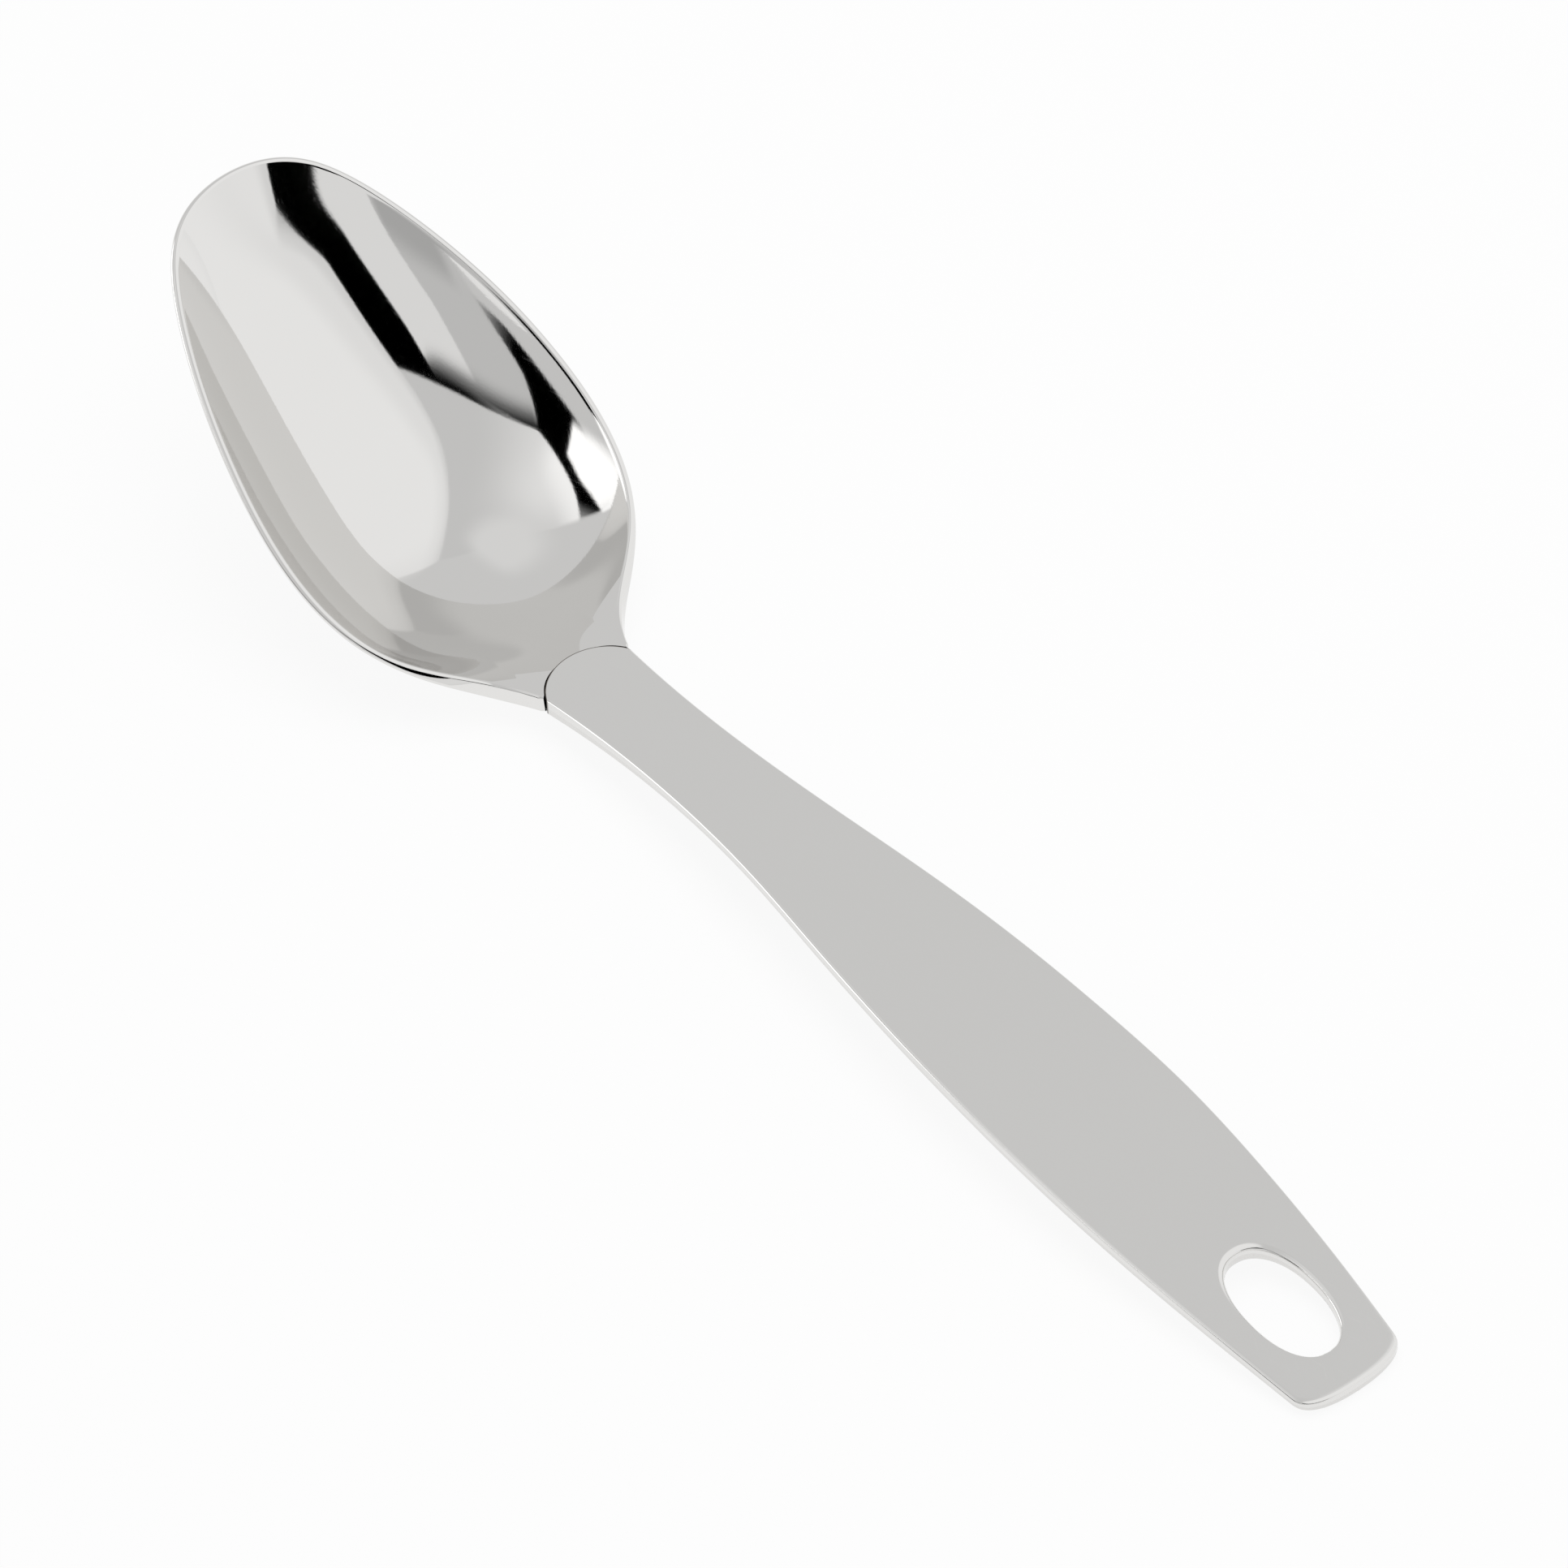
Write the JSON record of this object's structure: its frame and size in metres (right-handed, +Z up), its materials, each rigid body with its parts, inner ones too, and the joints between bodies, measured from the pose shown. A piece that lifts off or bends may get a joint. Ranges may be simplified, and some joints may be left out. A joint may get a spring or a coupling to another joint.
{
  "type": "serving spoon",
  "caption": "Polished steel serving spoon: a deep oval bowl on a hollow arched handle of two pressed shells, with an oval hanging hole near its end.",
  "frame": {"origin": "on the table, below the middle of the spoon's length and width", "axes": "+X along the spoon from the end of its handle to the tip of its bowl, +Y to the left of that, +Z up from the table"},
  "size_m": [0.25, 0.055, 0.0475],
  "materials": {
    "bowl_steel": "mirror polished, with fine polishing scratches",
    "handle_steel": "polished, slightly softer than the bowl",
    "underside_steel": "polished"
  },
  "bodies": {
    "root": {"bowl": "bowl_steel", "handle_upper_shell": "handle_steel", "handle_lower_shell": "underside_steel"}
  },
  "joints": []
}
